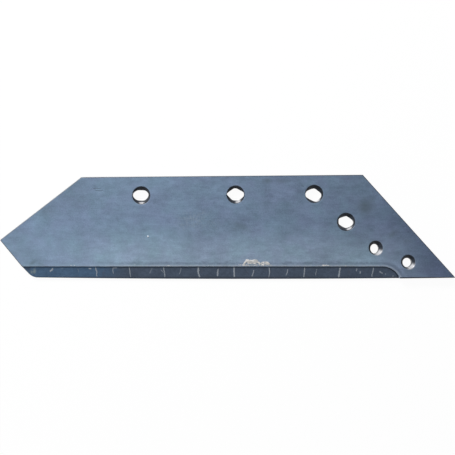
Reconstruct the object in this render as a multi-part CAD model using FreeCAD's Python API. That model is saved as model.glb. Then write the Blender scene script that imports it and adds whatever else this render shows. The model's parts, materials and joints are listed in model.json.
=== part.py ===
"""Plough share: a flat steel blade that bolts to the frog of a plough body and cuts the furrow slice.

The blade is one thick plate. Six countersunk bolt holes open on its soil face. A groove is milled along the
cutting edge by an end mill that stops short of the nose, and a hard alloy is deposited in it and dressed to
the cutting bevel.

Frame: +X along the cutting edge, from the heel to the nose. +Y from the cutting edge to the back edge.
+Z out of the soil face. The share lies on its back face, which is at Z = 0, and the origin is under the
centre of its outline box. Lengths are in millimetres and angles in degrees.
"""
import FreeCAD, Part
import math
import os

Vector = FreeCAD.Vector

# Blade outline, seen on the soil face with the cutting edge below and the nose on the right
share_length = 580.0        # heel point to nose point
nose_width = 131.1          # ends of the cutting edge to the back edge, at the nose corner
back_edge_slope = 0.48      # fall of the back edge towards the heel
nose_angle = 48.0           # nose edge to cutting edge
heel_point_height = 48.0    # heel point above the ends of the cutting edge
heel_upper_angle = 37.7     # upper heel edge to cutting edge
heel_lower_angle = 50.4     # lower heel edge to cutting edge
heel_foot_radius = 14.0     # rounded corner between the lower heel edge and the cutting edge
edge_belly = 2.0            # bow of the cutting edge beyond its ends

# Blade section
plate_thickness = 11.0
shear_rounding = 1.0        # rolled-over edge that the shears leave round the soil face
back_edge_break = 0.4       # small chamfer round the back face

# Groove along the cutting edge, and the hard alloy in it
groove_width = 14.4         # groove wall above the ends of the cutting edge
groove_end_setback = 93.4   # nose point to where the groove wall starts to curve
cutter_radius = 25.0        # end mill that leaves the curved end of the groove
step_depth = 1.0            # soil face down to the deposit, at the groove wall
edge_land = 3.5             # thickness left at the cutting edge
deposit_depth = 2.0         # hard alloy, measured square to the back face

# Frog bolts: countersunk holes with a diamond neck that stops the bolt from turning
frog_mouth_diameter = 23.2
frog_neck_length = 21.0        # along the share
frog_neck_width = 14.8         # across the share
frog_neck_crown_radius = 5.5   # blunt corners, above and below
frog_neck_end_radius = 3.2     # tighter corners, towards the heel and the nose
frog_row_inset = 23.9          # bolt row below the back edge
frog_heel_pitch = 120.0        # first to second bolt
frog_nose_pitch = 100.0        # second to third bolt
third_bolt_setback = 180.0     # nose point back to the third bolt
fourth_bolt_pitch = 54.0       # third to fourth bolt, along the diagonal
diagonal_angle = 41.2          # bolt diagonal to cutting edge

# Chisel bolts: round countersunk holes for the bolt-on chisel at the nose
chisel_mouth_diameter = 18.2
chisel_bore_diameter = 12.0
chisel_inner_pitch = 50.0   # fourth frog bolt to the inner chisel bolt, along the diagonal
chisel_outer_pitch = 45.0   # inner to outer chisel bolt
chisel_outer_angle = 23.4   # line of the chisel bolts to cutting edge

countersink_angle = 75.0    # included angle of every countersink

clear = 5.0                 # how far a cutting tool runs past what it cuts
tiny = 1e-6                 # lengths below this count as equal


def slope(angle):
    return math.tan(math.radians(angle))


def direction(angle):
    """Unit vector in the plane of the blade, falling towards the nose at this angle to the cutting edge."""
    return Vector(math.cos(math.radians(angle)), -math.sin(math.radians(angle)), 0)


def prism(edges, height, start=0.0):
    """Solid that stands on a closed outline in the XY plane, from start up."""
    solid = Part.Face(Part.Wire(edges)).extrude(Vector(0, 0, height))
    solid.translate(Vector(0, 0, start))
    return solid


def line(a, b):
    return Part.LineSegment(a, b).toShape()


def arc(a, middle, b):
    return Part.Arc(a, middle, b).toShape()


# Corners of the outline, measured from the heel point along X and from the ends of the cutting edge along Y
def back_edge_y(x):
    nose_corner_x = share_length - nose_width / slope(nose_angle)
    return nose_width - (nose_corner_x - x) * slope(back_edge_slope)


def heel_shoulder():
    """Where the upper heel edge meets the back edge."""
    rise = back_edge_y(0) - heel_point_height
    x = rise / (slope(heel_upper_angle) - slope(back_edge_slope))
    return Vector(x, back_edge_y(x), 0)


heel_point = Vector(0, heel_point_height, 0)
nose_corner = Vector(share_length - nose_width / slope(nose_angle), nose_width, 0)
nose_point = Vector(share_length, 0, 0)
heel_foot = Vector(heel_point_height / slope(heel_lower_angle), 0, 0)
lowest_point = Vector((nose_point.x + heel_foot.x) / 2, -edge_belly, 0)


def upright_edge(plate, corner):
    """The edge through the thickness of the plate at this corner of its outline."""
    middle = corner + Vector(0, 0, plate_thickness / 2)
    return min(plate.Edges, key=lambda edge: edge.CenterOfMass.distanceToPoint(middle))


def level_edges(solid, z):
    """Edges of a solid that lie flat at this height."""
    return [e for e in solid.Edges if abs(e.BoundBox.ZMin - z) < tiny and abs(e.BoundBox.ZMax - z) < tiny]


def blade_blank():
    """The sheared plate: heel foot rounded, soil face rolled over and back face deburred."""
    corners = [heel_point, heel_shoulder(), nose_corner, nose_point]
    edges = [line(a, b) for a, b in zip(corners, corners[1:])]
    edges.append(arc(nose_point, lowest_point, heel_foot))
    edges.append(line(heel_foot, heel_point))
    plate = prism(edges, plate_thickness)
    plate = plate.makeFillet(heel_foot_radius, [upright_edge(plate, heel_foot)])
    plate = plate.makeChamfer(back_edge_break, level_edges(plate, 0.0))
    return plate.makeFillet(shear_rounding, level_edges(plate, plate_thickness))


def groove_plan():
    """Everything below the groove wall and behind the arc that the end mill leaves towards the nose."""
    wall_end = Vector(share_length - groove_end_setback, groove_width, 0)
    centre = wall_end - Vector(0, cutter_radius, 0)
    arc_middle = centre + Vector(cutter_radius, cutter_radius, 0) * math.sqrt(0.5)
    arc_end = centre + Vector(cutter_radius, 0, 0)
    below = min(arc_end.y, -edge_belly) - clear
    outline = [Vector(arc_end.x, below, 0), Vector(-clear, below, 0),
               Vector(-clear, groove_width, 0), wall_end]
    edges = [line(a, b) for a, b in zip(outline, outline[1:])]
    edges.append(arc(wall_end, arc_middle, arc_end))
    edges.append(line(arc_end, outline[0]))
    return prism(edges, plate_thickness + 2 * clear, -clear)


def below_bevel(offset):
    """Everything under the cutting bevel, or under a plane that runs this far below it."""
    wall_z = plate_thickness - step_depth - offset
    edge_z = edge_land - offset
    fall = (wall_z - edge_z) / (groove_width + edge_belly)
    back = groove_width + clear
    front = -edge_belly - cutter_radius - clear
    bottom = min(-clear, edge_z + fall * (front + edge_belly) - clear)
    section = [Vector(-clear, back, wall_z + fall * clear),
               Vector(-clear, front, edge_z + fall * (front + edge_belly)),
               Vector(-clear, front, bottom),
               Vector(-clear, back, bottom)]
    face = Part.Face(Part.makePolygon(section + section[:1]))
    return face.extrude(Vector(share_length + 2 * clear, 0, 0))


def countersink(mouth_diameter, small_diameter):
    """Cone that has its mouth on the soil face and narrows to the small diameter."""
    spread = slope(countersink_angle / 2)
    depth = (mouth_diameter - small_diameter) / 2 / spread
    bottom = Vector(0, 0, plate_thickness - depth)
    return Part.makeCone(small_diameter / 2, mouth_diameter / 2 + clear * spread, depth + clear, bottom)


def diamond_neck():
    """Prism on a long diamond: straight flanks, tangent to rounded crowns and to rounded ends."""
    crown = Vector(0, frog_neck_width / 2 - frog_neck_crown_radius, 0)
    end = Vector(frog_neck_length / 2 - frog_neck_end_radius, 0, 0)
    run = end - crown
    lean = math.acos((frog_neck_crown_radius - frog_neck_end_radius) / run.Length)
    across = Vector(run).normalize()
    across = across * math.cos(lean) + Vector(-across.y, across.x, 0) * math.sin(lean)
    crown_meet = crown + across * frog_neck_crown_radius
    end_meet = end + across * frog_neck_end_radius
    edges = []
    for turn in (1, -1):
        crown_left = Vector(-crown_meet.x, crown_meet.y, 0) * turn
        end_above = Vector(-end_meet.x, end_meet.y, 0) * turn
        end_below = end_meet * -turn
        edges += [arc(crown_meet * turn, Vector(0, frog_neck_width / 2, 0) * turn, crown_left),
                  line(crown_left, end_above),
                  arc(end_above, Vector(-frog_neck_length / 2, 0, 0) * turn, end_below),
                  line(end_below, crown_meet * -turn)]
    return prism(edges, plate_thickness + 2 * clear, -clear)


def frog_bolt_hole():
    """The cone runs on inside the neck, so it leaves no ledge above the flanks."""
    return diamond_neck().fuse(countersink(frog_mouth_diameter, frog_neck_width / 2))


def chisel_bolt_hole():
    bore = Part.makeCylinder(chisel_bore_diameter / 2, plate_thickness + 2 * clear, Vector(0, 0, -clear))
    return bore.fuse(countersink(chisel_mouth_diameter, chisel_bore_diameter))


def frog_bolt_places():
    """The row along the back edge, then one more bolt down the diagonal."""
    row_drop = frog_row_inset / math.cos(math.radians(back_edge_slope))
    third_x = share_length - third_bolt_setback
    second_x = third_x - frog_nose_pitch
    row = [second_x - frog_heel_pitch, second_x, third_x]
    places = [Vector(x, back_edge_y(x) - row_drop, 0) for x in row]
    places.append(places[-1] + direction(diagonal_angle) * fourth_bolt_pitch)
    return places


def chisel_bolt_places():
    inner = frog_bolt_places()[-1] + direction(diagonal_angle) * chisel_inner_pitch
    return [inner, inner + direction(chisel_outer_angle) * chisel_outer_pitch]


def placed(tool, places):
    copies = []
    for place in places:
        copy = tool.copy()
        copy.translate(place)
        copies.append(copy)
    return copies


def share_blade(blank):
    groove = groove_plan().cut(below_bevel(deposit_depth))
    holes = placed(frog_bolt_hole(), frog_bolt_places()) + placed(chisel_bolt_hole(), chisel_bolt_places())
    return blank.cut([groove] + holes)


def hardfacing_strip(blank):
    """The hard alloy fills the groove up to the cutting bevel."""
    fill = groove_plan().common(below_bevel(0.0)).cut(below_bevel(deposit_depth))
    return blank.common(fill)


def main():
    blank = blade_blank()
    to_frame = Vector(-share_length / 2, -(nose_width - edge_belly) / 2, 0)
    nodes = {"share_blade": share_blade(blank), "hardfacing_strip": hardfacing_strip(blank)}
    os.makedirs("parts", exist_ok=True)
    for name, solid in nodes.items():
        solid = solid.removeSplitter()
        solid.translate(to_frame)
        assert solid.isValid() and len(solid.Solids) == 1, name
        solid.Solids[0].exportStep(f"parts/{name}.step")
        print(name, "volume", round(solid.Volume), "mm3, box", solid.BoundBox)
    for name, places in (("frog bolt", frog_bolt_places()), ("chisel bolt", chisel_bolt_places())):
        for place in places:
            print(name, "at", [round(c, 3) for c in place + to_frame])


main()
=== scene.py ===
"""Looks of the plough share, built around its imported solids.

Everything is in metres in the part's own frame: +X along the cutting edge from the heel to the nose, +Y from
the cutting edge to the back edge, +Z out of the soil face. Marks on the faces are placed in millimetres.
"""
import json
import math

import bmesh
import bpy
import numpy as np
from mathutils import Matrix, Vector, geometry, kdtree, noise


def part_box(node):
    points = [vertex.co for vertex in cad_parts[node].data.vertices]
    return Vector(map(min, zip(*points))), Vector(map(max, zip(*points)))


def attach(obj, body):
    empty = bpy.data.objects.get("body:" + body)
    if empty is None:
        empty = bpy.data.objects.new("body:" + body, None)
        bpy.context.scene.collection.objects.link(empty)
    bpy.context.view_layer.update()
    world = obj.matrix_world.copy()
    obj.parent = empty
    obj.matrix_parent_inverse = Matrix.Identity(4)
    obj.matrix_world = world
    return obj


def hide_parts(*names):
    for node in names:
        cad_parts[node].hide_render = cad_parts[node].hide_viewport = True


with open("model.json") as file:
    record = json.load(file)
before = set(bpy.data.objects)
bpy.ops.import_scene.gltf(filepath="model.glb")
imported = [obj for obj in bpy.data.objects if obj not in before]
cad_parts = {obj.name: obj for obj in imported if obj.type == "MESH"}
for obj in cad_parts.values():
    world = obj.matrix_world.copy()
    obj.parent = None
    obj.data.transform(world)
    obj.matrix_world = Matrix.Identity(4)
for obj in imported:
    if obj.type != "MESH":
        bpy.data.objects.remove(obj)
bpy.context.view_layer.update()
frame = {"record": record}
random = np.random.RandomState(11)

MM = 0.001

# Sizes of the share, as in the part's source
EDGE_BELLY = 2.0 * MM
BACK_EDGE_SLOPE = math.radians(0.48)
NOSE_ANGLE = math.radians(48.0)
HEEL_POINT_HEIGHT = 48.0 * MM
HEEL_UPPER_ANGLE = math.radians(37.7)
HEEL_LOWER_ANGLE = math.radians(50.4)
HEEL_FOOT_RADIUS = 14.0 * MM
SHEAR_ROUNDING = 1.0 * MM
BACK_EDGE_BREAK = 0.4 * MM
GROOVE_END_SETBACK = 93.4 * MM
CUTTER_RADIUS = 25.0 * MM
STEP_DEPTH = 1.0 * MM
EDGE_LAND = 3.5 * MM
DEPOSIT_DEPTH = 2.0 * MM
FROG_MOUTH_RADIUS = 11.6 * MM
CHISEL_MOUTH_RADIUS = 9.1 * MM
COUNTERSINK_SPREAD = math.tan(math.radians(37.5))

# Places that follow from the solids
blade_low, blade_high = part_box("share_blade")
strip_low, strip_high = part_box("hardfacing_strip")
THICKNESS = blade_high.z
LIP_Y = strip_high.y
ENDS_Y = blade_low.y + EDGE_BELLY
mounts = {mount["name"]: mount for mount in frame["record"]["mounts"]}


# Plane geometry

def point(x, y):
    return np.array([x, y], float)


def unit(angle):
    return point(math.cos(angle), math.sin(angle))


def angle_of(v):
    return math.atan2(v[1], v[0])


def straight(a, b, step):
    """Points from a towards b, without b."""
    count = max(1, round(np.linalg.norm(b - a) / step))
    return [a + (b - a) * i / count for i in range(count)]


def arc(centre, radius, start, end, step):
    """Points on an arc from the start angle towards the end angle, without the end."""
    count = max(3, math.ceil(abs(end - start) * radius / step))
    return [centre + radius * unit(start + (end - start) * i / count) for i in range(count)]


def inset(loop, distances):
    """A closed loop with each edge moved to its left by its own distance, mitred at the corners."""
    ahead = np.roll(loop, -1, axis=0) - loop
    ahead /= np.linalg.norm(ahead, axis=1)[:, None]
    behind = np.roll(ahead, 1, axis=0)
    normal_ahead = np.stack([-ahead[:, 1], ahead[:, 0]], axis=1)
    normal_behind = np.roll(normal_ahead, 1, axis=0)
    far = np.asarray(distances, float)
    near = np.roll(far, 1)
    turn = behind[:, 0] * ahead[:, 1] - behind[:, 1] * ahead[:, 0]
    straight_on = np.abs(turn) < 1e-3
    safe = np.where(straight_on, 1.0, turn)
    along = (near * np.sum(normal_ahead * normal_behind, axis=1) - far) / safe
    bent = normal_behind * near[:, None] + behind * along[:, None]
    level = (normal_ahead * far[:, None] + normal_behind * near[:, None]) / 2
    return loop + np.where(straight_on[:, None], level, bent)


def inside(points, loop):
    """Which points lie inside a closed loop."""
    x, y = points[:, 0], points[:, 1]
    found = np.zeros(len(points), bool)
    for a, b in zip(loop, np.roll(loop, -1, axis=0)):
        if a[1] == b[1]:
            continue
        crosses = (a[1] > y) != (b[1] > y)
        found ^= crosses & (x < a[0] + (y - a[1]) * (b[0] - a[0]) / (b[1] - a[1]))
    return found


def clear_of(points, holes):
    """Which points lie in none of these closed loops."""
    found = np.ones(len(points), bool)
    for hole in holes:
        found &= ~inside(points, hole)
    return found


def distance_to_path(points, path):
    """Distance from each point to a path of straight runs."""
    best = np.full(len(points), np.inf)
    for a, b in zip(path[:-1], path[1:]):
        run = b - a
        t = np.clip(((points - a) @ run) / max(run @ run, 1e-18), 0, 1)
        best = np.minimum(best, np.linalg.norm(points - a - t[:, None] * run, axis=1))
    return best


# The outline, counter-clockwise as seen from above

def tan(angle):
    return math.tan(angle)


heel_point = point(blade_low.x, ENDS_Y + HEEL_POINT_HEIGHT)
nose_point = point(blade_high.x, ENDS_Y)
nose_corner = point(blade_high.x - (blade_high.y - ENDS_Y) / tan(NOSE_ANGLE), blade_high.y)
back_edge_drop = (nose_corner[0] - heel_point[0]) * tan(BACK_EDGE_SLOPE)
shoulder_rise = nose_corner[1] - back_edge_drop - heel_point[1]
shoulder_run = shoulder_rise / (tan(HEEL_UPPER_ANGLE) - tan(BACK_EDGE_SLOPE))
heel_shoulder = heel_point + point(shoulder_run, shoulder_run * tan(HEEL_UPPER_ANGLE))
heel_foot = heel_point + point(HEEL_POINT_HEIGHT / tan(HEEL_LOWER_ANGLE), -HEEL_POINT_HEIGHT)

half_edge = (nose_point[0] - heel_foot[0]) / 2
BELLY_RADIUS = (half_edge ** 2 + EDGE_BELLY ** 2) / (2 * EDGE_BELLY)
belly_centre = point((nose_point[0] + heel_foot[0]) / 2, blade_low.y + BELLY_RADIUS)

groove_centre = point(blade_high.x - GROOVE_END_SETBACK, LIP_Y - CUTTER_RADIUS)
lip_start = point(heel_point[0] + (heel_point[1] - LIP_Y) / tan(HEEL_LOWER_ANGLE), LIP_Y)


def edge_angle(x):
    """Angle about the belly's centre of the point on the cutting edge at x."""
    return -math.pi / 2 + math.asin((x - belly_centre[0]) / BELLY_RADIUS)


def find_lip_end():
    """Where the curved end of the groove runs out through the cutting edge."""
    end = point(groove_centre[0] + CUTTER_RADIUS, ENDS_Y)
    for _ in range(6):
        end[1] = (belly_centre + BELLY_RADIUS * unit(edge_angle(end[0])))[1]
        end[0] = groove_centre[0] + math.sqrt(CUTTER_RADIUS ** 2 - (end[1] - groove_centre[1]) ** 2)
    return end


lip_end = find_lip_end()


def foot_arc(step):
    """The rounded foot, from the lower heel edge to the cutting edge."""
    down = unit(-HEEL_LOWER_ANGLE)
    inward = unit(math.pi / 2 - HEEL_LOWER_ANGLE)
    start = heel_point + HEEL_FOOT_RADIUS * inward - belly_centre
    half_b = start @ down
    c = start @ start - (BELLY_RADIUS - HEEL_FOOT_RADIUS) ** 2
    centre = belly_centre + start + (-half_b + math.sqrt(half_b ** 2 - c)) * down
    return arc(centre, HEEL_FOOT_RADIUS, angle_of(-inward), angle_of(centre - belly_centre), step)


def cutting_edge(start_x, end_x, step):
    return arc(belly_centre, BELLY_RADIUS, edge_angle(start_x), edge_angle(end_x), step)


STEP = 2.0 * MM
SEAM = 0.02 * MM            # width of the joint where the wall of the groove runs out through the outline


def plate_side():
    """Outline of the full-thickness part, from the end of the lip round to its start."""
    return np.array(cutting_edge(lip_end[0], nose_point[0], STEP) + straight(nose_point, nose_corner, STEP)
                    + straight(nose_corner, heel_shoulder, STEP) + straight(heel_shoulder, heel_point, STEP)
                    + straight(heel_point, lip_start, STEP) + [lip_start])


def groove_side():
    """Outline of the groove, from the start of the lip round to its end."""
    first = lip_start + SEAM * unit(-HEEL_LOWER_ANGLE)
    foot = foot_arc(STEP / 2)
    last = lip_end[0] - SEAM
    return np.array(straight(first, foot[0], STEP) + foot + cutting_edge(foot[-1][0] + STEP, last, STEP)
                    + [belly_centre + BELLY_RADIUS * unit(edge_angle(last))])


def lip_line():
    """The lip between the plate's side and the groove's, from heel to nose, without its ends."""
    corner = point(groove_centre[0], LIP_Y)
    curved = arc(groove_centre, CUTTER_RADIUS, math.pi / 2, angle_of(lip_end - groove_centre), STEP / 2)
    return np.array(straight(lip_start, corner, STEP)[1:] + curved)


def thinned(outline, corner, reach):
    """An outline without the points this close to a corner, so that its insets don't fold.

    The corner itself stays."""
    gap = np.linalg.norm(outline - corner, axis=1)
    return outline[(gap >= reach) | (gap < SEAM / 2)]


OUTER = thinned(thinned(plate_side(), nose_point, 4.5 * MM), heel_point, 2.5 * MM)
GROOVE_OUTER = groove_side()
LIP = thinned(lip_line(), lip_end, 2.2 * MM)
OUTLINE = np.concatenate([OUTER, GROOVE_OUTER])


def bevel(y):
    """Height of the deposit's surface."""
    top = THICKNESS - STEP_DEPTH
    return top + (y - LIP_Y) * (top - EDGE_LAND) / (LIP_Y - blade_low.y)


# Meshes

class Shell:
    """A mesh in the making: points, faces, and how closed loops of points are joined."""

    def __init__(self):
        self.points = np.zeros((0, 3))
        self.faces = []
        self.random = np.random.RandomState(5)

    def add(self, flat, z):
        """Adds points over a plane outline. z is one height or one for each."""
        flat = np.asarray(flat, float)
        new = np.column_stack([flat, np.broadcast_to(z, len(flat))])
        self.points = np.concatenate([self.points, new])
        return list(range(len(self.points) - len(new), len(self.points)))

    def band(self, low, high, closed=True):
        """Quads between two rows of the same length.

        They face right of the row's direction when high is above."""
        count = len(low) if closed else len(low) - 1
        for i in range(count):
            j = (i + 1) % len(low)
            self.faces.append((low[i], low[j], high[j], high[i]))

    def ruffled(self, loop, margin, height):
        """A ring this far inside a counter-clockwise loop. It is uneven, so no three points are in line."""
        ring = inset(self.points[loop][:, :2], np.full(len(loop), margin))
        along = np.roll(ring, -1, axis=0) - np.roll(ring, 1, axis=0)
        across = np.column_stack([-along[:, 1], along[:, 0]]) / np.linalg.norm(along, axis=1)[:, None]
        ring += across * self.random.uniform(-0.1, 0.1, len(loop))[:, None] * margin
        return self.add(ring, height(ring))

    def fill(self, loops, spacing, margin, height, up=True, lines=()):
        """A band of this width inside the first loop, then triangles as far as the other loops.

        The triangles have a grid of points at this spacing. height gives z for an array of plane points.
        lines are paths of plane points that edges follow. Returns the indices of the points along the lines,
        path by path."""
        ring = self.ruffled(loops[0], margin, height)
        self.band(*((loops[0], ring) if up else (ring, loops[0])))
        loops = [ring] + loops[1:]
        border = [i for loop in loops for i in loop]
        outer, *holes = (self.points[loop][:, :2] for loop in loops)
        plane = [self.points[i][:2] for i in border]
        edges = []
        start = 0
        for loop in loops:
            edges += [(start + i, start + (i + 1) % len(loop)) for i in range(len(loop))]
            start += len(loop)
        for line in lines:
            edges += [(start + i, start + i + 1) for i in range(len(line) - 1)]
            plane += list(line)
            start += len(line)
        fixed = kdtree.KDTree(len(plane))
        for i, p in enumerate(plane):
            fixed.insert((p[0], p[1], 0), i)
        fixed.balance()
        low, high = outer.min(0), outer.max(0)
        columns = np.arange(low[0], high[0], spacing)
        rows = np.arange(low[1], high[1], spacing * 0.87)
        grid = np.array([(x + (j % 2) * spacing / 2, y) for j, y in enumerate(rows) for x in columns])
        grid += self.random.uniform(-0.12, 0.12, grid.shape) * spacing
        grid = grid[inside(grid, outer) & clear_of(grid, holes)]
        grid = [p for p in grid if fixed.find((p[0], p[1], 0))[2] > 0.6 * spacing]
        plane += grid
        spots = [Vector(p / MM) for p in plane]
        found, _, triangles, origin, _, _ = geometry.delaunay_2d_cdt(spots, edges, [], 0, 1e-5, True)
        flat = np.array([v[:] for v in found]) * MM
        index = [border[min(o)] if o and min(o) < len(border) else -1 for o in origin]
        fresh = [k for k, i in enumerate(index) if i < 0]
        for k, i in zip(fresh, self.add(flat[fresh], height(flat[fresh]))):
            index[k] = i
        corners = np.array(triangles)
        middles = flat[corners].mean(1)
        a, b, c = (flat[corners[:, k]] for k in range(3))
        area = (b[:, 0] - a[:, 0]) * (c[:, 1] - a[:, 1]) - (b[:, 1] - a[:, 1]) * (c[:, 0] - a[:, 0])
        kept = inside(middles, outer) & clear_of(middles, holes)
        for corner, turn in zip(corners[kept], area[kept]):
            face = [index[k] for k in corner]
            self.faces.append(tuple(face if (turn > 0) == up else face[::-1]))
        place = {o: index[k] for k, source in enumerate(origin) for o in source}
        starts = len(border) + np.cumsum([0] + [len(line) for line in lines])
        return [[place[s + i] for i in range(len(line))] for s, line in zip(starts, lines)]

    def build(self, name, attributes, sharp=math.radians(28)):
        """Makes the object, with its named values on the points."""
        mesh = bpy.data.meshes.new(name)
        mesh.from_pydata(self.points.tolist(), [], self.faces)
        mesh.polygons.foreach_set("use_smooth", [True] * len(mesh.polygons))
        mesh.set_sharp_from_angle(angle=sharp)
        for key, values in attributes.items():
            layer = mesh.attributes.new(key, "FLOAT", "POINT")
            layer.data.foreach_set("value", np.asarray(values, np.float32))
        mesh.validate()
        piece = bpy.data.objects.new(name, mesh)
        bpy.context.scene.collection.objects.link(piece)
        return piece


def wobble(points, size, seed=0.0, octaves=3):
    """Smooth noise from about -1 to 1 at each point, with bumps of this size in metres."""
    return np.array([noise.fractal(Vector((p[0] / size, p[1] / size, p[2] / size + seed)), 0.6, 2.1, octaves)
                     for p in points])


def smooth(values, low, high):
    """Smooth step from 0 to 1 while the values go from low to high."""
    share = np.clip((values - low) / (high - low), 0, 1)
    return share * share * (3 - 2 * share)


# Bolt holes

def blunted(corners, cut):
    """A closed outline whose corners are cut back by this length and rounded."""
    outline = np.array(corners, float)
    ahead = np.roll(outline, -1, axis=0) - outline
    run = np.linalg.norm(ahead, axis=1)[:, None]
    step = ahead / run * np.minimum(cut, 0.45 * run)
    outline = np.stack([outline + step, outline + ahead - step], axis=1).reshape(-1, 2)
    for _ in range(2):
        ahead = np.roll(outline, -1, axis=0) - outline
        outline = np.stack([outline + ahead / 4, outline + ahead * 3 / 4], axis=1).reshape(-1, 2)
    return outline


def oval(x, y, half_length, half_width):
    turns = np.linspace(0, 2 * math.pi, 96, endpoint=False)
    return np.column_stack([x + half_length * np.cos(turns), y + half_width * np.sin(turns)])


def on_rays(outline, count):
    """Where rays from the origin, all the way round, leave a closed outline."""
    ahead = np.roll(outline, -1, axis=0)
    found = []
    for i in range(count):
        ray = unit(2 * math.pi * i / count)
        across = point(-ray[1], ray[0])
        here, there = outline @ across, ahead @ across
        crosses = (here > 0) != (there > 0)
        share = here[crosses] / (here[crosses] - there[crosses])
        reach = (outline[crosses] + (ahead - outline)[crosses] * share[:, None]) @ ray
        found.append(reach.max() * ray)
    return np.array(found)


def bolt_hole(shell, centre, mouth_radius, neck, flare):
    """Countersink and neck of one hole. Returns the loops that the soil face and the back face end at."""
    edge = 0.25 * MM
    spread = np.minimum(np.linalg.norm(neck, axis=1), mouth_radius - 0.5 * MM)
    rays = neck / np.linalg.norm(neck, axis=1)[:, None]
    meet_z = THICKNESS - (mouth_radius - spread) / COUNTERSINK_SPREAD

    def ring(radius, z):
        return shell.add(centre + rays * np.broadcast_to(radius, len(rays))[:, None], z)

    top = ring(mouth_radius + edge, THICKNESS)
    rings = [top, ring(mouth_radius + edge * 0.35, THICKNESS - edge * 0.15)]
    for share in (0.04, 0.2, 0.36, 0.52, 0.68, 0.84, 1.0):
        radius = mouth_radius + (spread - mouth_radius) * share
        rings.append(ring(radius, THICKNESS + (meet_z - THICKNESS) * share))
    for share in (0.12, 0.4, 0.7, 1.0):
        rings.append(ring(spread + flare * share, meet_z + (edge - meet_z) * share))
    bottom = ring(spread + flare + edge, 0.0)
    rings.append(bottom)
    for upper, lower in zip(rings, rings[1:]):
        shell.band(upper, lower)
    return top, bottom


# The necks differ a little from each other. Outlines are in millimetres about the mouth's centre.
NECKS = {
    "frog_bolt_1": blunted([(-11.2, 3.1), (-11.2, -1.2), (-6.2, -6.2), (3.6, -6.5), (8.5, -1.8), (9.2, 2.5),
                            (4.7, 6.7), (-5.1, 7.1)], 1.4),
    "frog_bolt_2": blunted([(-11.9, 1.0), (-2.6, 8.2), (1.7, 8.1), (10.6, 2.9), (10.6, -2.0), (4.0, -7.6),
                            (-4.3, -6.9)], 0.9),
    "frog_bolt_3": blunted([(-11.3, 1.0), (-8.5, 4.3), (-1.4, 7.2), (2.0, 7.1), (9.6, 0.9), (9.6, -3.6),
                            (3.2, -9.7), (-0.2, -9.4), (-11.3, -3.4)], 1.2),
    "frog_bolt_4": blunted([(-9.2, 4.4), (0.4, 7.5), (2.2, 7.2), (9.9, 1.6), (10.1, -2.6), (5.7, -6.2),
                            (0.2, -8.1), (-9.0, -3.0)], 1.2),
    "chisel_bolt_inner": oval(-0.5, -1.4, 5.7, 6.2),
    "chisel_bolt_outer": oval(-0.1, -1.2, 6.2, 6.0)}
NECK_FLARE = 0.7 * MM       # breakout of the pierced necks towards the back face
RAYS = 96

# Painted highlight in each countersink: its side and how far round it goes in degrees, and from what height
HIGHLIGHT_SIDES = {"frog_bolt_1": (-89, 21, 5.9), "frog_bolt_2": (-70, 22, 6.1), "frog_bolt_3": (-60, 21, 6.7),
          "frog_bolt_4": (-62, 24, 6.3), "chisel_bolt_inner": (-58, 38, 5.4),
          "chisel_bolt_outer": (-56, 38, 5.0)}


def bolt_places():
    """Centre, mouth radius, neck outline, flare of the neck, and side of the painted highlight of every hole.
    """
    places = []
    for name, outline in NECKS.items():
        on_frog = name.startswith("frog")
        centre = point(*mounts[name]["pos_m"][:2])
        mouth_radius = FROG_MOUTH_RADIUS if on_frog else CHISEL_MOUTH_RADIUS
        flare = NECK_FLARE if on_frog else 0.0
        places.append((centre, mouth_radius, on_rays(outline * MM, RAYS), flare, HIGHLIGHT_SIDES[name]))
    return places


HOLES = bolt_places()


# Values that the materials read from the points

def lip_gap(p):
    """Distance outside the groove's lip."""
    beyond = np.hypot(p[:, 0] - groove_centre[0], p[:, 1] - groove_centre[1]) - CUTTER_RADIUS
    return np.where(p[:, 0] < groove_centre[0], p[:, 1] - LIP_Y, beyond)


def patches(p, spots):
    """Soft spots. Each is x, y, half length, half width in millimetres, turn in degrees, and strength."""
    total = np.zeros(len(p))
    for x, y, length, width, turn, strength in spots:
        c, s = math.cos(math.radians(turn)), math.sin(math.radians(turn))
        dx, dy = p[:, 0] / MM - x, p[:, 1] / MM - y
        reach = ((dx * c + dy * s) / length) ** 2 + ((dy * c - dx * s) / width) ** 2
        total = np.maximum(total, strength * np.exp(-reach))
    return total


STAINS = [(175, 26, 9, 10, -40, 1.0), (182, 34, 6, 5, 0, 0.45), (50, 58.5, 6, 3.2, 0, 0.75),
          (70, 58.5, 9, 2.8, 0, 0.6), (17, 1, 10, 4, -25, 0.5), (9, -2, 5, 3, 0, 0.4),
          (210, -9, 6, 3.5, 40, 0.7), (-248, -45, 5, 2, 30, 0.8), (-238, -47, 4, 1.6, -20, 0.5),
          (-230, 18, 9, 5, 0, 0.25), (228, -18, 7, 4, 0, 0.35)]
SCUFFS = [(-46, 9, 15, 9, -15, 1.0), (-58, 3, 9, 7, 0, 0.6), (-34, 15, 9, 5, 20, 0.7),
          (-20, 4, 9, 6, 0, 0.35)]
SCRATCHES = [[(-172, 48.9), (-166, 49.2), (-160, 48.4)], [(-169, 46.4), (-158, 46.1)],
             [(92.5, 52.4), (98, 51.6)]]
SCRATCH_HALF_WIDTH = 0.6 * MM
SCRATCH_DEPTH = 0.12 * MM
SCUFF_DEPTH = 0.25 * MM
WAVE_DEPTH = 0.08 * MM      # long shallow waves in the soil face
HALO_GAP = 1.3 * MM         # extra edge round every mouth, where the painted highlight fades out


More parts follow.
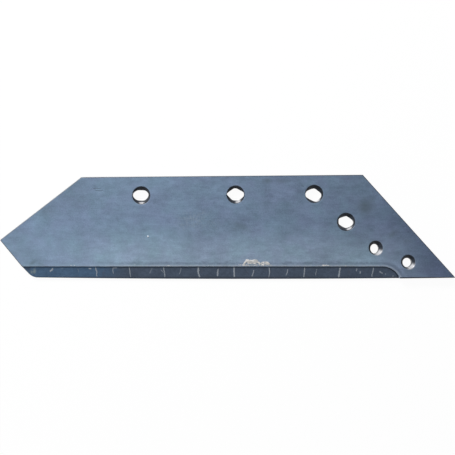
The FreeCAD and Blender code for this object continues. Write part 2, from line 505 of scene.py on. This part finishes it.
def share_blade():
    """The steel plate, with its rolled-over and sheared edge, its groove and its holes."""
    shell = Shell()
    on_plate = len(OUTER)
    count = len(OUTLINE)
    wall_top = np.where(np.arange(count) < on_plate, THICKNESS - SHEAR_ROUNDING,
                        bevel(OUTLINE[:, 1]) - DEPOSIT_DEPTH)
    rows = 7
    bottom = shell.add(inset(OUTLINE, [BACK_EDGE_BREAK] * count), 0.0)
    below = bottom
    for i in range(rows + 1):
        row = shell.add(OUTLINE, BACK_EDGE_BREAK + (wall_top - BACK_EDGE_BREAK) * i / rows)
        shell.band(below, row)
        below = row
    plate_edge, groove_edge = below[:on_plate], below[on_plate:]

    lip_break = 0.15 * MM
    lip_low = shell.add(LIP, bevel(LIP[:, 1]) - DEPOSIT_DEPTH)
    lip_top = shell.add(LIP, THICKNESS - lip_break)
    shell.band([groove_edge[0]] + lip_low + [groove_edge[-1]], [plate_edge[-1]] + lip_top + [plate_edge[0]],
               closed=False)
    face_loop = np.concatenate([OUTER, LIP])
    radii = np.where(np.arange(len(face_loop)) < on_plate - 1, SHEAR_ROUNDING, lip_break)
    at_point = np.where(np.arange(len(face_loop)) < on_plate, SHEAR_ROUNDING, lip_break)
    below = plate_edge + lip_top
    steps = 4
    for i in range(1, steps + 1):
        turn = math.pi / 2 * i / steps
        loop = shell.add(inset(face_loop, radii * (1 - math.cos(turn))),
                         THICKNESS - at_point * (1 - math.sin(turn)))
        shell.band(below, loop)
        below = loop
    mouths = []
    unders = []
    rings = []
    for centre, mouth_radius, neck, flare, _ in HOLES:
        top, under = bolt_hole(shell, centre, mouth_radius, neck, flare)
        mouths.append(top)
        unders.append(under)
        halo = arc(centre, mouth_radius + HALO_GAP, 0, 2 * math.pi, 1.4 * MM)
        rings.append(halo + halo[:1])
    scratches = [scratch_lines(path) for path in SCRATCHES]
    lines = [line for group in scratches for line in group] + rings
    made = shell.fill([below] + mouths, 1.8 * MM, 0.5 * MM, lambda p: THICKNESS, lines=lines)
    shell.fill([lip_low[::-1] + groove_edge], 4 * MM, 0.4 * MM, lambda p: bevel(p[:, 1]) - DEPOSIT_DEPTH)
    shell.fill([bottom] + unders, 6 * MM, 0.5 * MM, lambda p: 0.0, up=False)

    scratch = np.zeros(len(shell.points))
    for i in range(len(scratches)):
        centre_line = made[3 * i]
        scratch[centre_line[1:-1]] = 1.0
        shell.points[centre_line[1:-1], 2] -= SCRATCH_DEPTH
    p = shell.points
    on_face = np.clip((p[:, 2] - THICKNESS + SHEAR_ROUNDING) / SHEAR_ROUNDING, 0, 1)
    mouth_gap = np.full(len(p), 0.05)
    bright = np.zeros(len(p))
    # Painted highlight: a bright patch on each countersink's side towards the key light, fading out at and
    # beyond the mouth
    for centre, mouth_radius, _, _, (side, around, from_height) in HOLES:
        x, y = p[:, 0] - centre[0], p[:, 1] - centre[1]
        gap = np.hypot(x, y) - mouth_radius
        mouth_gap = np.minimum(mouth_gap, gap)
        off = (np.degrees(np.arctan2(y, x)) - side + 180) % 360 - 180
        up = smooth(p[:, 2] / MM, from_height, from_height + 1.6)
        reach = (-1.5, -0.2) if mouth_radius == FROG_MOUTH_RADIUS else (0.0, 1.9)
        glow = 1 - smooth(gap / MM, *reach)
        bright += np.exp(-(off / around) ** 2) * up * glow
    in_hole = (mouth_gap < 0.05 * MM) & (p[:, 2] < THICKNESS)
    scuff = patches(p, SCUFFS)
    dents = (wobble(p, 5 * MM, 3.0) - 1) * scuff * SCUFF_DEPTH + (wobble(p, 60 * MM, 7.0, 2) - 1) * WAVE_DEPTH
    top_half = np.clip(p[:, 2] / THICKNESS * 4 - 3, 0, 1)
    near_edge = np.clip(np.minimum(lip_gap(p), rim_gap(p)) / (4 * MM), 0, 1)
    shell.points[:, 2] += dents * top_half * near_edge
    upper_heel = distance_to_path(p[:, :2], [heel_point, heel_shoulder]) < 3 * MM
    return shell.build("steel_plate", {
        "lip_gap": lip_gap(p) / MM, "rim_gap": rim_gap(p) / MM, "mouth_gap": mouth_gap / MM, "bore": in_hole,
        "bright": bright, "stain": patches(p, STAINS) * on_face, "scuff": scuff, "scratch": scratch,
        "heel_rim": upper_heel * 1.0})


def rim_gap(p):
    """Distance inside the outline."""
    corners = [nose_point, nose_corner, heel_shoulder, heel_point, heel_foot, nose_point]
    return distance_to_path(p[:, :2], corners)


def stepped(path, step):
    """A path given in millimetres, with points at this step along it."""
    path = np.array(path) * MM
    return np.concatenate([np.array(straight(a, b, step)) for a, b in zip(path, path[1:])] + [path[-1:]])


def scratch_lines(path):
    """Centre line of a scratch and its two sides."""
    dense = stepped(path, 1.2 * MM)
    return side_lines(dense, np.full(len(dense), SCRATCH_HALF_WIDTH))


def side_lines(path, half_width):
    """A path, and the lines on both sides of it that meet it at its ends."""
    along = np.gradient(path, axis=0)
    along /= np.linalg.norm(along, axis=1)[:, None]
    across = np.column_stack([-along[:, 1], along[:, 0]])
    lines = [path]
    for side in (1, -1):
        line = path + across * side * half_width[:, None]
        lines.append(np.concatenate([path[:1], line[1:-1], path[-1:]]))
    return lines


# Stress checks in the deposit, with pale slag caught in them: strength, width, and points from the lip down
CHECKS = [
    (1.00, 3.2, [(-222.5, -52.4), (-225, -54.8), (-227.5, -57.4)]),
    (0.35, 2.2, [(-213, -52.8), (-209.5, -53)]),
    (0.30, 2.0, [(-191.5, -52), (-190.5, -55), (-191, -58.5)]),
    (0.90, 1.8, [(-177.8, -52.9), (-173.6, -53.1)]),
    (0.80, 1.7, [(-168.6, -51.2), (-167.4, -57), (-168, -63.6)]),
    (0.60, 1.5, [(-140.8, -52), (-146.3, -52.4), (-146.6, -56), (-146.2, -60)]),
    (0.90, 1.3, [(-125.4, -51.2), (-125, -57), (-124.2, -64.2)]),
    (0.40, 1.8, [(-96.2, -52), (-98, -55.6), (-100.2, -60)]),
    (0.60, 1.4, [(-85.4, -54.4), (-83.2, -56.6), (-81.2, -59.4)]),
    (0.75, 1.6, [(-81.8, -51), (-81, -57), (-80.4, -64.9)]),
    (0.45, 1.6, [(-59.4, -52), (-60, -56), (-62.2, -61)]),
    (1.00, 3.0, [(-37, -51.2), (-37.8, -57), (-36, -64.8)]),
    (0.75, 2.5, [(-12.4, -53), (-12.8, -58), (-13, -63.6)]),
    (0.85, 2.5, [(8, -51.2), (8.2, -57), (8.6, -64.8)]),
    (0.60, 2.1, [(33.2, -54.4), (32.8, -59), (30.6, -63.6)]),
    (0.80, 1.5, [(53, -51), (53.4, -57), (53, -65.3)]),
    (0.60, 1.7, [(76.6, -53), (76, -58), (74.6, -62.4)]),
    (0.75, 1.8, [(98.2, -51), (97.9, -57), (97.5, -65)]),
    (0.55, 1.4, [(113.4, -53), (113, -57), (112.2, -62.4)]),
    (1.00, 3.6, [(143.4, -51.4), (142.6, -58), (142, -65)]),
    (0.70, 1.5, [(164.7, -52.4), (164.5, -57)]),
    (0.85, 1.6, [(169.4, -55.6), (169.2, -60)]),
    (0.80, 1.7, [(186, -51.4), (185.2, -57), (184.6, -63.8)]),
    (0.60, 2.4, [(193.6, -56), (196, -58.2), (198.6, -59.4)]),
    (0.50, 1.6, [(201.2, -58.6), (202.4, -61.2)]),
    (0.80, 1.2, [(210.6, -62.6), (213.4, -62.9)]),
]
CHECK_RISE = 0.16 * MM


def check_lines(width, path):
    """Centre line of a check and its two sides, wandering a little."""
    dense = stepped(path, 0.8 * MM)
    dense += random.normal(0, 0.18 * MM, dense.shape) * [1, 0.3]
    spread = np.interp(np.linspace(0, 1, len(dense)), np.linspace(0, 1, 5), random.uniform(0.7, 1.25, 5))
    return side_lines(dense, width * 0.6 * MM * spread)


def hardfacing_strip():
    """The alloy in the groove, dressed to the bevel, with its stress checks."""
    shell = Shell()
    outline = np.concatenate([GROOVE_OUTER, LIP[::-1]])
    on_rim = np.arange(len(outline)) < len(GROOVE_OUTER) - 1
    top = bevel(outline[:, 1])
    low = shell.add(outline, top - DEPOSIT_DEPTH)
    below = low
    rounding = np.where(on_rim, 0.45 * MM, 0.05 * MM)
    drop = np.where(np.arange(len(outline)) < len(GROOVE_OUTER), 0.45 * MM, 0.05 * MM)
    for i in (1, 2):
        row = shell.add(outline, top - DEPOSIT_DEPTH + (DEPOSIT_DEPTH - drop) * i / 2)
        shell.band(below, row)
        below = row
    for i in (1, 2, 3):
        turn = math.pi / 2 * i / 3
        loop = inset(outline, rounding * (1 - math.cos(turn)))
        row = shell.add(loop, bevel(loop[:, 1]) - drop * (1 - math.sin(turn)))
        shell.band(below, row)
        below = row
    groups = [check_lines(width, path) for _, width, path in CHECKS]
    lines = [line for group in groups for line in group]
    made = shell.fill([below], 1.3 * MM, 0.4 * MM, lambda p: bevel(p[:, 1]), lines=lines)
    shell.fill([low], 5 * MM, 0.4 * MM, lambda p: bevel(p[:, 1]) - DEPOSIT_DEPTH, up=False)

    p = shell.points
    check = np.zeros(len(p))
    for k, (strength, _, _) in enumerate(CHECKS):
        inner = made[3 * k][1:-1]
        check[inner] = strength
    on_top = np.abs(p[:, 2] - bevel(p[:, 1])) < 0.01 * MM
    gap = np.minimum(distance_to_path(p[:, :2], outline), 3 * MM) / (3 * MM)
    shell.points[:, 2] += np.where(on_top, gap * wobble(p, 7 * MM, 2.0) * 0.12 * MM, 0) + check * CHECK_RISE
    worn = patches(p, [(-246.8, -56.0, 2.6, 5.0, -14, 1.0), (-250.4, -57.8, 3.2, 2.2, -40, 0.9)])
    blue = patches(p, [(-254.5, -52.8, 4.2, 3.0, -50, 1.0)])
    return shell.build("hard_alloy_bead", {
        "check": check, "lip_gap": -lip_gap(p) / MM, "rim_gap": rim_gap(p) / MM, "worn": worn, "blue": blue})


# Slag and spatter left on the soil face: radius and points, all low enough to stay thin crusts
CRUSTS = [
    (0.75, [(15.5, -48.5), (30, -48.4), (44, -48.4), (55.5, -48.6)]),
    (1.30, [(20.6, -47.4), (21.6, -45.0), (24.2, -43.5)]),
    (1.75, [(24.6, -43.3), (31, -42.9), (36.8, -43.3)]),
    (1.35, [(36.8, -43.4), (39, -45.2), (40.6, -47.2)]),
    (0.90, [(26, -46.2), (31, -46.0), (36, -46.4)]),
    (1.10, [(42.4, -46.8), (44.6, -44.9), (46.8, -44.8)]),
    (1.20, [(48.4, -45.0), (50.6, -44.8), (52.2, -46.8)]),
    (0.85, [(43, -47.4), (48, -47.0), (53, -47.4)]),
    (0.55, [(-87.6, -49.6), (-86, -49.5)]),
    (0.65, [(-77.4, -49.6), (-74.6, -49.1), (-72, -49.6)]),
    (0.50, [(-65, -49.6), (-63.8, -49.6)]),
    (0.60, [(72.6, -49.6), (75.6, -49.4)]),
    (0.65, [(148.8, -49.6), (151, -49.3), (153, -49.6)]),
    (0.80, [(119.8, -49.0), (124, -48.6), (128.8, -49.0)]),
    (0.55, [(-200.5, -48.9), (-197, -48.5), (-194.4, -49)]),
]
CRUST_HEIGHT = 0.35


def slag_crusts():
    """Thin crusts of slag beside the lip, each grown from a string of flattened lumps."""
    lumps = bpy.data.meshes.new("lumps")
    points = []
    faces = []
    ball_points, ball_faces = ball(2)
    for radius, path in CRUSTS:
        for centre in stepped(path, 0.6 * MM):
            centre = centre + random.normal(0, 0.22 * radius * MM, 2)
            size = radius * MM * random.uniform(0.55, 1.25)
            start = len(points)
            for q in ball_points:
                points.append((centre[0] + q[0] * size, centre[1] + q[1] * size,
                               THICKNESS - 0.12 * MM + q[2] * size * CRUST_HEIGHT))
            faces += [tuple(start + k for k in face) for face in ball_faces]
    lumps.from_pydata(points, [], faces)
    piece = bpy.data.objects.new("slag_crusts", lumps)
    bpy.context.scene.collection.objects.link(piece)
    remesh = piece.modifiers.new("skin", "REMESH")
    remesh.mode = "VOXEL"
    remesh.voxel_size = 0.3 * MM
    remesh.use_smooth_shade = True
    apply_modifiers(piece)
    return piece


def ball(subdivisions):
    """Points and faces of a unit sphere."""
    mesh = bmesh.new()
    bmesh.ops.create_icosphere(mesh, subdivisions=subdivisions, radius=1.0)
    points = [v.co[:] for v in mesh.verts]
    faces = [tuple(v.index for v in face.verts) for face in mesh.faces]
    mesh.free()
    return points, faces


def apply_modifiers(piece):
    """Replaces the mesh of an object by what its modifiers make of it."""
    depsgraph = bpy.context.evaluated_depsgraph_get()
    final = bpy.data.meshes.new_from_object(piece.evaluated_get(depsgraph))
    piece.modifiers.clear()
    piece.data = final


def spatter():
    """Small round beads of weld spatter on the soil face."""
    shell_points = []
    faces = []
    ball_points, ball_faces = ball(3)
    for x, y, radius in ((-101.4, -12.1, 1.15), (-24.5, -48.9, 0.6), (-118, -47.6, 0.5), (14, -47.5, 0.45)):
        start = len(shell_points)
        for q in ball_points:
            lump = 1 + 0.12 * noise.noise(Vector(q) * 1.7 + Vector((x, y, 0)))
            shell_points.append(((x + q[0] * radius * lump) * MM, (y + q[1] * radius * lump) * MM,
                                 THICKNESS + (q[2] * radius * 0.45 * lump - 0.15) * MM))
        faces += [tuple(start + k for k in face) for face in ball_faces]
    mesh = bpy.data.meshes.new("weld_spatter")
    mesh.from_pydata(shell_points, [], faces)
    mesh.polygons.foreach_set("use_smooth", [True] * len(faces))
    piece = bpy.data.objects.new("weld_spatter", mesh)
    bpy.context.scene.collection.objects.link(piece)
    return piece


# Materials

class Paint:
    """The nodes of one material. Every method gives back an output socket."""

    def __init__(self, name):
        self.material = bpy.data.materials.new(name)
        self.material.use_nodes = True
        self.tree = self.material.node_tree
        self.tree.nodes.clear()
        self.place = self.node("ShaderNodeTexCoord").outputs["Object"]

    def node(self, kind, inputs=None, **settings):
        made = self.tree.nodes.new(kind)
        for key, value in settings.items():
            setattr(made, key, value)
        for key, value in (inputs or {}).items():
            if isinstance(value, bpy.types.NodeSocket):
                self.tree.links.new(value, made.inputs[key])
            else:
                made.inputs[key].default_value = value
        return made

    def value(self, name):
        return self.node("ShaderNodeAttribute", attribute_name=name).outputs["Fac"]

    def axis(self, which):
        return self.node("ShaderNodeSeparateXYZ", {"Vector": self.place}).outputs[which]

    def noise(self, size, detail=3.0, roughness=0.55, stretch=(1, 1, 1), lift=0.0):
        """Noise around 0.5 with bumps of this size in millimetres, longer along an axis by its stretch."""
        scale = tuple(1 / (size * MM * s) for s in stretch)
        place = self.node("ShaderNodeMapping", {"Vector": self.place, "Scale": scale,
                                                "Location": (lift, lift * 0.7, lift * 1.3)}).outputs[0]
        inputs = {"Vector": place, "Scale": 1.0, "Detail": detail, "Roughness": roughness}
        return self.node("ShaderNodeTexNoise", inputs).outputs["Fac"]

    def ramp(self, value, low, high, to_low=0.0, to_high=1.0):
        """Smooth change from one number to another while the value goes from low to high."""
        inputs = {"Value": value, "From Min": low, "From Max": high, "To Min": to_low, "To Max": to_high}
        return self.node("ShaderNodeMapRange", inputs, interpolation_type="SMOOTHSTEP").outputs["Result"]

    def math(self, operation, a, b=0.0, clamp=False):
        made = self.node("ShaderNodeMath", {0: a, 1: b}, operation=operation, use_clamp=clamp)
        return made.outputs[0]

    def times(self, *values):
        total = values[0]
        for value in values[1:]:
            total = self.math("MULTIPLY", total, value)
        return total

    def plus(self, *values):
        total = values[0]
        for value in values[1:]:
            total = self.math("ADD", total, value)
        return total

    def invert(self, value):
        return self.math("SUBTRACT", 1.0, value)

    def mix(self, factor, a, b, blend="MIX"):
        made = self.node("ShaderNodeMix", data_type="RGBA", blend_type=blend)
        for socket, value in zip((made.inputs[0], made.inputs[6], made.inputs[7]), (factor, a, b)):
            if isinstance(value, bpy.types.NodeSocket):
                self.tree.links.new(value, socket)
            else:
                socket.default_value = value if socket.type == "VALUE" else (*value, 1.0)
        return made.outputs[2]

    def scaled(self, colour, value):
        """A colour made lighter or darker by a number that changes over the surface."""
        return self.node("ShaderNodeVectorMath", {0: colour, 1: value}, operation="MULTIPLY").outputs[0]

    def finish(self, bump=None, bump_height=0.1, **inputs):
        shader = self.node("ShaderNodeBsdfPrincipled", {k.replace("_", " "): v for k, v in inputs.items()})
        if bump is not None:
            normal = self.node("ShaderNodeBump",
                               {"Height": bump, "Distance": bump_height * MM, "Strength": 1.0})
            self.tree.links.new(normal.outputs[0], shader.inputs["Normal"])
        output = self.node("ShaderNodeOutputMaterial")
        self.tree.links.new(shader.outputs[0], output.inputs["Surface"])
        return self.material


def steel():
    """Dark blue-grey painted plate: brushed and mottled face, sheared sides, bright scratches, heat strip."""
    paint = Paint("blade_steel")
    x, z = paint.axis(0), paint.axis(2)
    lip, rim, mouth = paint.value("lip_gap"), paint.value("rim_gap"), paint.value("mouth_gap")

    # Painted shade: the coat is lighter towards the heel and darker towards the nose, standing in for the
    # light falling off along the plate
    painted_shade_drift = paint.plus(x, paint.times(paint.noise(90), 0.06))
    colour = paint.mix(paint.ramp(painted_shade_drift, -0.26, 0.17), (0.142, 0.211, 0.304), (0.132, 0.187, 0.272))
    colour = paint.scaled(colour, paint.mix(paint.ramp(painted_shade_drift, 0.17, 0.30),
                                            (1.0, 1.0, 1.0), (0.66, 0.66, 0.72)))
    # Painted shade: darker at the heel towards the back edge
    painted_shade_top_left = paint.times(paint.ramp(lip, 45.0, 85.0), paint.ramp(x, -0.13, -0.22))
    colour = paint.scaled(colour, paint.ramp(painted_shade_top_left, 0.0, 1.0, 1.0, 0.86))
    # Painted sheen: a lighter patch just above the lip near the nose
    painted_sheen_patch = paint.times(paint.ramp(lip, 18.0, 7.0), paint.ramp(x, 0.150, 0.180),
                           paint.ramp(x, 0.235, 0.212))
    colour = paint.scaled(colour, paint.ramp(painted_sheen_patch, 0.0, 1.0, 1.0, 1.20))
    cloud = paint.noise(34, 5, 0.62)
    hue = paint.noise(27, 3, 0.6, (1, 1, 1), 3.0)
    grain = paint.noise(6, 5, 0.65, (2.2, 1, 1))
    brushed = paint.noise(0.9, 2, 0.6, (45, 1, 1))
    speckle = paint.noise(1.3, 3, 0.7)
    colour = paint.scaled(colour, paint.mix(paint.ramp(hue, 0.3, 0.7),
                                            (1.04, 0.985, 1.03), (0.965, 1.015, 0.985)))
    tone = paint.times(paint.ramp(cloud, 0.25, 0.75, 0.88, 1.12), paint.ramp(grain, 0.2, 0.8, 0.88, 1.12),
                       paint.ramp(brushed, 0.2, 0.8, 0.95, 1.05), paint.ramp(speckle, 0.2, 0.8, 0.87, 1.13))
    colour = paint.scaled(colour, tone)
    # Painted sheen: lighter towards the lip, most towards the heel
    painted_sheen_near_lip = paint.times(paint.ramp(lip, 62.0, 6.0), paint.ramp(x, -0.24, -0.10, 0.28, 1.0))
    colour = paint.scaled(colour, paint.mix(painted_sheen_near_lip, (1.0, 1.0, 1.0), (1.53, 1.46, 1.32)))

    ragged = paint.plus(lip, paint.math("MULTIPLY", paint.noise(7, 4, 0.7), -6.0))
    heat = paint.times(paint.ramp(ragged, 4.0, 1.2), paint.ramp(lip, 1.5, 3.2), paint.ramp(x, -0.19, -0.12),
                       paint.ramp(paint.noise(3.2, 4, 0.7), 0.35, 0.62, 0.4, 1.0))
    colour = paint.mix(paint.times(heat, 0.5), colour, (0.070, 0.100, 0.140))
    fringe = paint.times(paint.ramp(lip, 2.8, 1.2), paint.ramp(z, 0.0104, 0.0108),
                         paint.ramp(paint.noise(4, 3, 0.7), 0.3, 0.6, 0.25, 1.0),
                         paint.ramp(x, -0.2, -0.1, 0.2, 1.0))
    colour = paint.mix(paint.times(fringe, 0.65), colour, (0.30, 0.34, 0.39))

    stain = paint.times(paint.value("stain"), paint.ramp(grain, 0.2, 0.7, 0.4, 1.0))
    colour = paint.mix(paint.times(stain, 0.75), colour, (0.048, 0.070, 0.075))
    scuff = paint.times(paint.value("scuff"), paint.ramp(paint.noise(2.2, 4, 0.7, (1, 2, 1)), 0.42, 0.62))
    colour = paint.mix(paint.times(scuff, 0.62), colour, (0.21, 0.26, 0.32))
    scratch = paint.ramp(paint.value("scratch"), 0.2, 0.7)
    colour = paint.mix(paint.times(scratch, 0.6), colour, (0.045, 0.058, 0.075))

    edge = paint.times(paint.ramp(rim, 1.3, 0.6), paint.ramp(z, 0.0095, 0.0100))
    heel_rim = paint.value("heel_rim")
    colour = paint.mix(paint.times(edge, paint.invert(heel_rim), 0.9), colour, (0.022, 0.028, 0.038))
    colour = paint.mix(paint.times(edge, heel_rim, 0.7), colour, (0.10, 0.088, 0.078))

    # Hole walls: dark scale, made this dark partly as painted shade of the walls that face away from the
    # light
    bore = paint.ramp(paint.value("bore"), 0.3, 0.7)
    scale = paint.mix(paint.ramp(grain, 0.3, 0.7), (0.022, 0.027, 0.036), (0.042, 0.050, 0.066))
    colour = paint.mix(bore, colour, scale)
    # Painted highlight: light grey on the side of each countersink that faces the key light
    bright = paint.ramp(paint.value("bright"), 0.08, 0.85)
    highlight_colour = paint.mix(paint.ramp(speckle, 0.3, 0.7), (0.46, 0.46, 0.48), (0.60, 0.60, 0.62))
    colour = paint.mix(bright, colour, highlight_colour)
    bright_mouth = paint.times(paint.ramp(mouth, 1.1, 0.3), paint.ramp(z, 0.0103, 0.0107),
                               paint.ramp(grain, 0.4, 0.7))
    colour = paint.mix(paint.times(bright_mouth, 0.3), colour, (0.24, 0.28, 0.33))

    side = paint.times(paint.ramp(rim, 0.6, 0.2), paint.ramp(z, 0.0102, 0.0096), paint.invert(bore))
    tears = paint.noise(1.1, 4, 0.7, (1, 1, 7))
    uneven_z = paint.plus(z, paint.math("MULTIPLY", paint.noise(5, 4, 0.65), 0.0022))
    burnish = paint.ramp(uneven_z, 0.0072, 0.0082)
    sheared = paint.mix(burnish, (0.055, 0.062, 0.072), (0.135, 0.152, 0.175))
    side_rust = paint.ramp(paint.noise(9, 4, 0.7, (1, 1, 0.6), 4.0), 0.5, 0.68)
    sheared = paint.mix(side_rust, sheared, (0.105, 0.062, 0.036))
    sheared = paint.scaled(sheared, paint.ramp(tears, 0.25, 0.75, 0.65, 1.35))
    colour = paint.mix(side, colour, sheared)

    under = paint.ramp(z, 0.0006, 0.0002)
    shop = paint.mix(paint.ramp(paint.noise(24, 5, 0.65, (1, 1, 1), 9.0), 0.42, 0.62),
                     (0.105, 0.132, 0.165), (0.065, 0.080, 0.098))
    under_rust = paint.ramp(paint.noise(13, 5, 0.7, (1, 1, 1), 15.0), 0.60, 0.72)
    shop = paint.mix(paint.times(under_rust, 0.7), shop, (0.13, 0.075, 0.042))
    rubs = paint.ramp(paint.noise(0.8, 3, 0.6, (60, 1, 1), 5.0), 0.60, 0.72)
    shop = paint.mix(paint.times(rubs, 0.5), shop, (0.24, 0.27, 0.30))
    colour = paint.mix(under, colour, shop)

    rough = paint.plus(paint.ramp(grain, 0.2, 0.8, 0.40, 0.56), paint.times(scuff, 0.15),
                       paint.times(stain, 0.1), paint.times(bore, -0.10),
                       paint.times(side, paint.ramp(burnish, 0.0, 1.0, 0.22, 0.0)))
    bump = paint.plus(paint.times(paint.ramp(brushed, 0.0, 1.0), 0.12),
                      paint.times(paint.ramp(speckle, 0.0, 1.0), 0.22), paint.times(grain, 0.25),
                      paint.times(scuff, 0.7), paint.times(side, tears, 1.6))
    return paint.finish(bump, 0.10, Base_Color=colour, Roughness=rough,
                        Metallic=paint.ramp(paint.times(side, burnish), 0.0, 1.0, 0.2, 0.7))


def alloy():
    """Dressed hard alloy: dark and dull, with pale checks, a worn heel corner and grinding marks."""
    paint = Paint("hard_alloy")
    x = paint.axis(0)
    lip, rim = paint.value("lip_gap"), paint.value("rim_gap")
    grain = paint.noise(4, 5, 0.65)
    ground = paint.noise(0.6, 2, 0.6, (1, 22, 1))
    cloud = paint.noise(26, 4, 0.6)
    bluish = paint.ramp(paint.plus(x, paint.times(cloud, 0.06)), -0.10, -0.14)
    colour = paint.mix(bluish, (0.089, 0.120, 0.175), (0.084, 0.156, 0.262))
    tone = paint.times(paint.ramp(grain, 0.2, 0.8, 0.84, 1.16), paint.ramp(ground, 0.2, 0.8, 0.9, 1.1),
                       paint.ramp(cloud, 0.2, 0.8, 0.9, 1.1))
    colour = paint.scaled(colour, tone)
    rust = paint.ramp(paint.noise(9, 4, 0.7, (1, 1, 1), 6.0), 0.58, 0.72)
    colour = paint.mix(paint.times(rust, 0.25), colour, (0.13, 0.10, 0.12))
    # Dark weld toe along the lip, partly painted shadow of the step falling on the alloy
    weld_toe_and_step_shadow = paint.times(paint.ramp(lip, 1.6, 0.5), paint.ramp(grain, 0.2, 0.7, 0.8, 1.0))
    colour = paint.mix(paint.times(weld_toe_and_step_shadow, 0.85), colour, (0.022, 0.027, 0.036))
    blue = paint.value("blue")
    colour = paint.mix(paint.times(blue, 0.8), colour, (0.05, 0.075, 0.12))
    worn = paint.ramp(paint.times(paint.value("worn"), paint.ramp(grain, 0.3, 0.7, 0.2, 1.4)), 0.15, 0.9)
    colour = paint.mix(paint.times(worn, 0.75), colour, (0.27, 0.33, 0.34))
    check = paint.value("check")
    crumbly = paint.times(check, paint.ramp(paint.noise(1.1, 3, 0.7), 0.25, 0.55, 0.35, 1.0))
    colour = paint.mix(paint.ramp(crumbly, 0.08, 0.6, 0.0, 0.95), colour, (0.44, 0.48, 0.53))
    edge = paint.ramp(rim, 1.4, 0.4)
    colour = paint.mix(paint.times(edge, paint.ramp(grain, 0.2, 0.7, 0.5, 1.0), 0.75), colour,
                       (0.035, 0.042, 0.052))
    rough = paint.plus(paint.ramp(grain, 0.2, 0.8, 0.46, 0.62), paint.times(crumbly, 0.3))
    bump = paint.plus(paint.times(grain, 0.6), paint.times(ground, 0.35), paint.times(crumbly, 0.8))
    return paint.finish(bump, 0.12, Base_Color=colour, Roughness=rough, Metallic=0.3)


def slag():
    """Pale, slightly pink, crumbly crust."""
    paint = Paint("slag")
    fine = paint.noise(0.9, 5, 0.7)
    patchy = paint.noise(5, 3, 0.6)
    colour = paint.mix(paint.ramp(patchy, 0.35, 0.65), (0.62, 0.60, 0.58), (0.42, 0.42, 0.41))
    colour = paint.scaled(colour, paint.ramp(fine, 0.2, 0.8, 0.75, 1.2))
    return paint.finish(fine, 0.25, Base_Color=colour, Roughness=paint.ramp(fine, 0.2, 0.8, 0.75, 0.95))


def bead_metal():
    """Bright little weld beads with a dull skin."""
    paint = Paint("weld_bead")
    fine = paint.noise(0.5, 3, 0.6)
    colour = paint.mix(paint.ramp(fine, 0.35, 0.65), (0.62, 0.64, 0.66), (0.38, 0.41, 0.45))
    rough = paint.ramp(fine, 0.2, 0.8, 0.3, 0.5)
    return paint.finish(fine, 0.05, Base_Color=colour, Roughness=rough, Metallic=0.4)


# The pieces

blade = share_blade()
blade.data.materials.append(steel())
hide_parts("share_blade")
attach(blade, "root")

bead = hardfacing_strip()
bead.data.materials.append(alloy())
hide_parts("hardfacing_strip")
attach(bead, "root")

crusts = slag_crusts()
crusts.data.materials.append(slag())
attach(crusts, "root")

beads = spatter()
beads.data.materials.append(bead_metal())
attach(beads, "root")


# Floor, light and camera

def floor():
    """White floor that keeps a faint shadow."""
    mesh = bpy.data.meshes.new("floor")
    half = 4.0
    corners = [(-half, -half, 0), (half, -half, 0), (half, half, 0), (-half, half, 0)]
    mesh.from_pydata(corners, [], [(0, 1, 2, 3)])
    piece = bpy.data.objects.new("floor", mesh)
    piece.location.z = -0.2 * MM
    bpy.context.scene.collection.objects.link(piece)
    paint = Paint("floor")
    path = paint.node("ShaderNodeLightPath").outputs
    seen = paint.math("MAXIMUM", paint.math("MAXIMUM", path["Is Camera Ray"], path["Is Glossy Ray"]),
                      path["Is Transmission Ray"])
    diffuse = paint.node("ShaderNodeBsdfDiffuse", {"Color": (0.9, 0.9, 0.9, 1.0)})
    glow = paint.node("ShaderNodeEmission", {"Color": (1.0, 1.0, 1.0, 1.0), "Strength": 1.0})
    share = paint.times(seen, 0.96)
    both = paint.node("ShaderNodeMixShader", {0: share, 1: diffuse.outputs[0], 2: glow.outputs[0]})
    output = paint.node("ShaderNodeOutputMaterial")
    paint.tree.links.new(both.outputs[0], output.inputs["Surface"])
    piece.data.materials.append(paint.material)


def area_light(name, place, target, size, power):
    light = bpy.data.lights.new(name, "AREA")
    light.shape = "SQUARE"
    light.size = size
    light.energy = power
    lamp = bpy.data.objects.new(name, light)
    lamp.location = place
    lamp.rotation_euler = (Vector(target) - Vector(place)).to_track_quat("-Z", "Y").to_euler()
    bpy.context.scene.collection.objects.link(lamp)


floor()
area_light("key", (-0.90, 1.40, 1.25), (0.0, 0.0, 0.0), 0.60, 57.0)
area_light("fill", (-0.9, -0.1, 1.5), (0.0, 0.0, 0.0), 1.2, 3.0)

world = bpy.data.worlds.new("studio")
world.use_nodes = True
world.node_tree.nodes["Background"].inputs["Color"].default_value = (0.92, 0.96, 1.0, 1.0)
world.node_tree.nodes["Background"].inputs["Strength"].default_value = 0.22
bpy.context.scene.world = world

CAMERA_RANGE = 0.86
camera = bpy.data.cameras.new("camera")
camera.sensor_width = 36.0
camera.lens = 53.5
camera.clip_start = 0.01
viewer = bpy.data.objects.new("camera", camera)
viewer.location = (-0.0003, -0.00055, THICKNESS + CAMERA_RANGE)
bpy.context.scene.collection.objects.link(viewer)
bpy.context.scene.camera = viewer
bpy.context.scene.view_settings.view_transform = "Standard"
